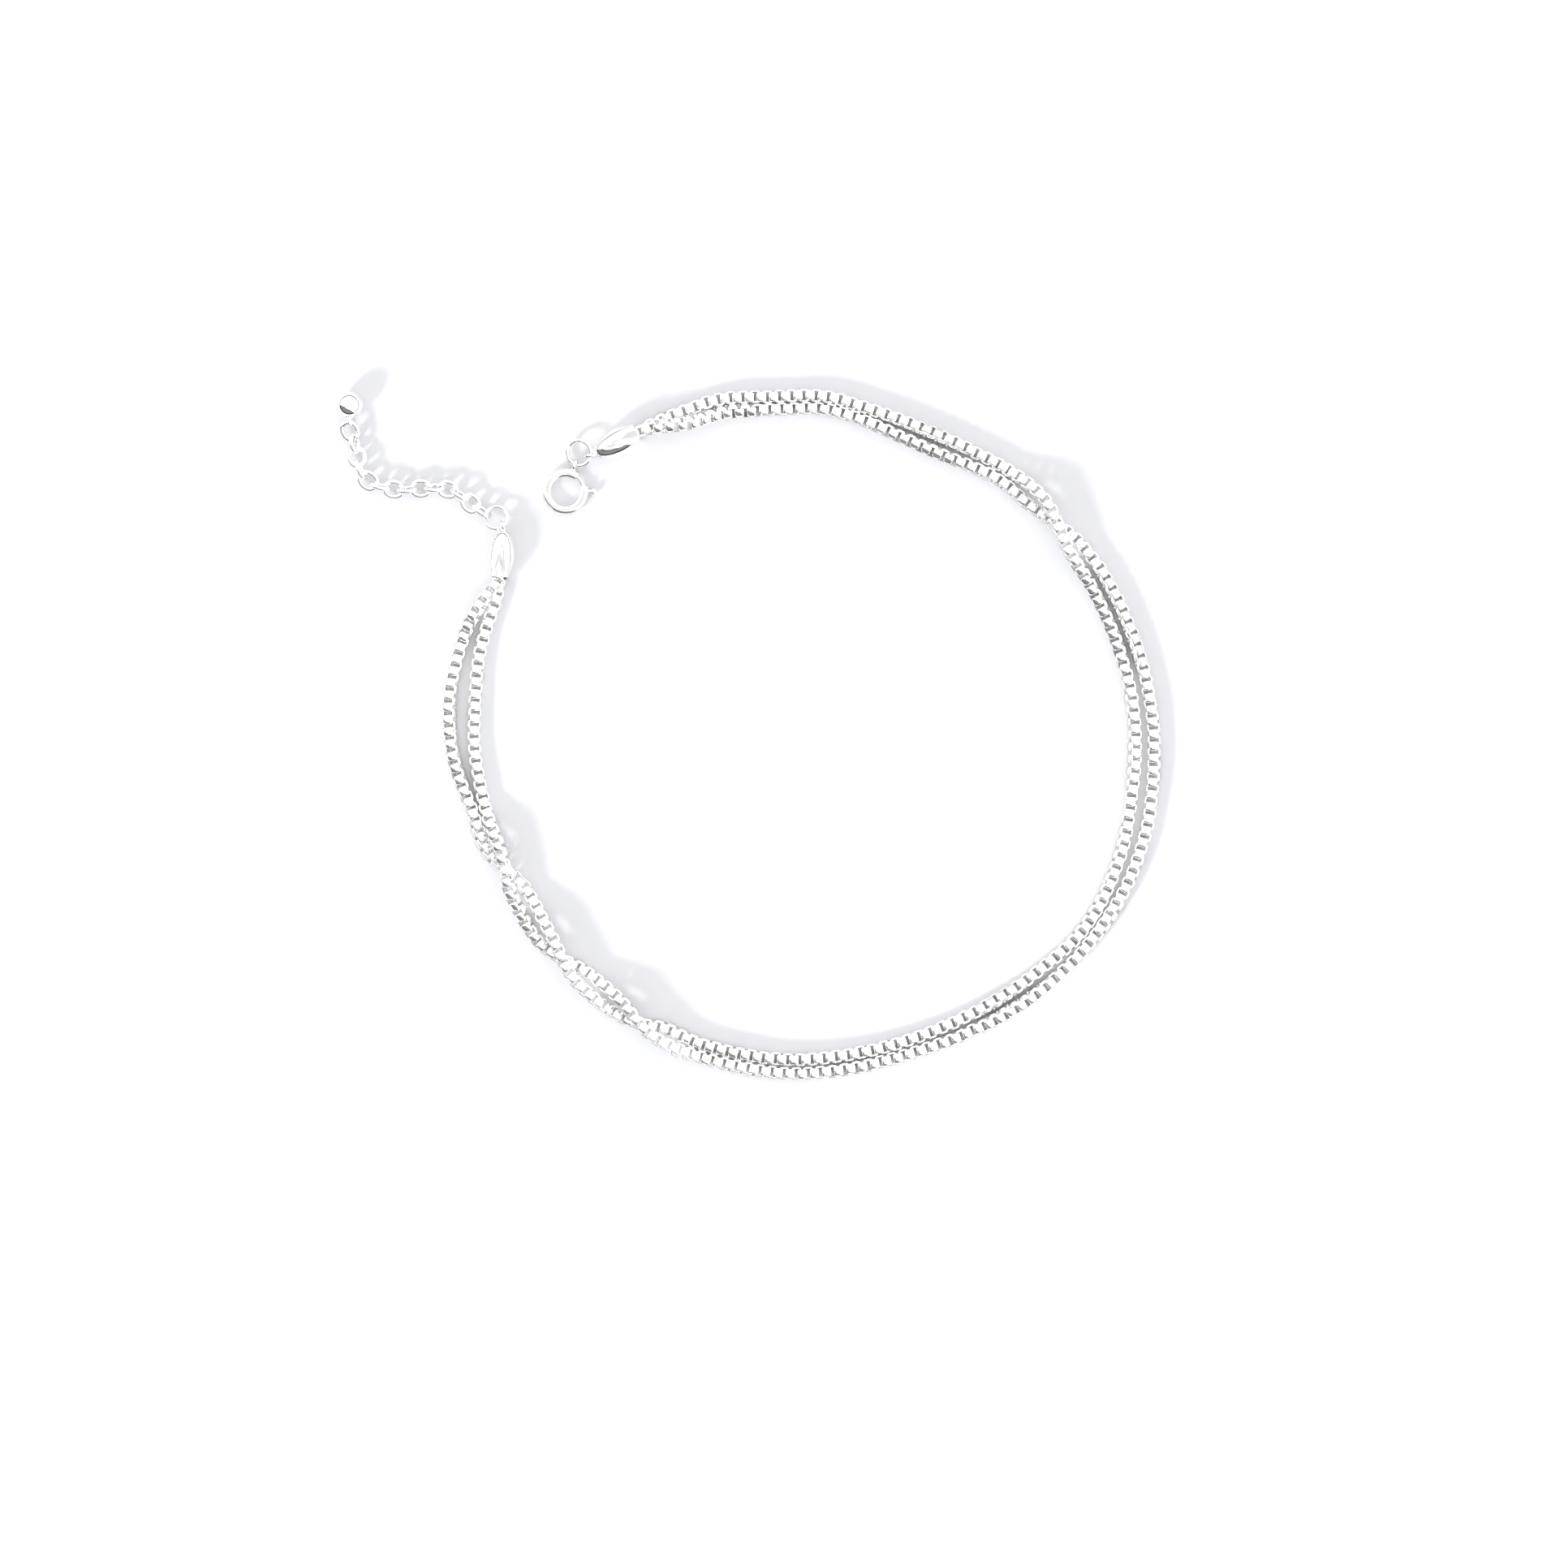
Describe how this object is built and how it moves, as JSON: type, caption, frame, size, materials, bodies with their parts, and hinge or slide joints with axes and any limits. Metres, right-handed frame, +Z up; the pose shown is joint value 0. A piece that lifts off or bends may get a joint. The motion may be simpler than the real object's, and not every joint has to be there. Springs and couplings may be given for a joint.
{
  "type": "payal anklet",
  "caption": "Lying silver anklet of two box chains with oval end caps, a spring-ring clasp and a short extender chain with a ball.",
  "frame": {"origin": "middle of the anklet's underside, on the surface that it lies on", "axes": "+Z up, +X along the longest extent from the extender's ball towards the far side of the loop"},
  "size_m": [0.0913, 0.0765, 0.0031],
  "materials": {
    "box_chain": "bright polished silver",
    "end_cap": "high-polish silver",
    "clasp": "polished silver",
    "jump_ring": "polished silver wire",
    "extender": "polished silver wire",
    "ball": "high-polish silver"
  },
  "bodies": {
    "root": {"box_chain_first": "box_chain", "box_chain_second": "box_chain", "clasp_end_cap": "end_cap", "extender_end_cap": "end_cap", "clasp_jump_ring": "jump_ring", "spring_ring": "clasp", "extender_jump_ring": "jump_ring", "extender_chain": "extender", "end_ball": "ball"},
    "trigger": {"trigger": "clasp"}
  },
  "joints": [
    {"name": "trigger_slide", "type": "hinge", "parent": "root", "child": "trigger", "pos_m": [-0.02033, 0.02697, 0.00055], "axis": [0, 0, -1], "range_deg": [0, 45], "stiffness_Nm_per_rad": 0.00002, "springref_deg": -11.46}
  ]
}
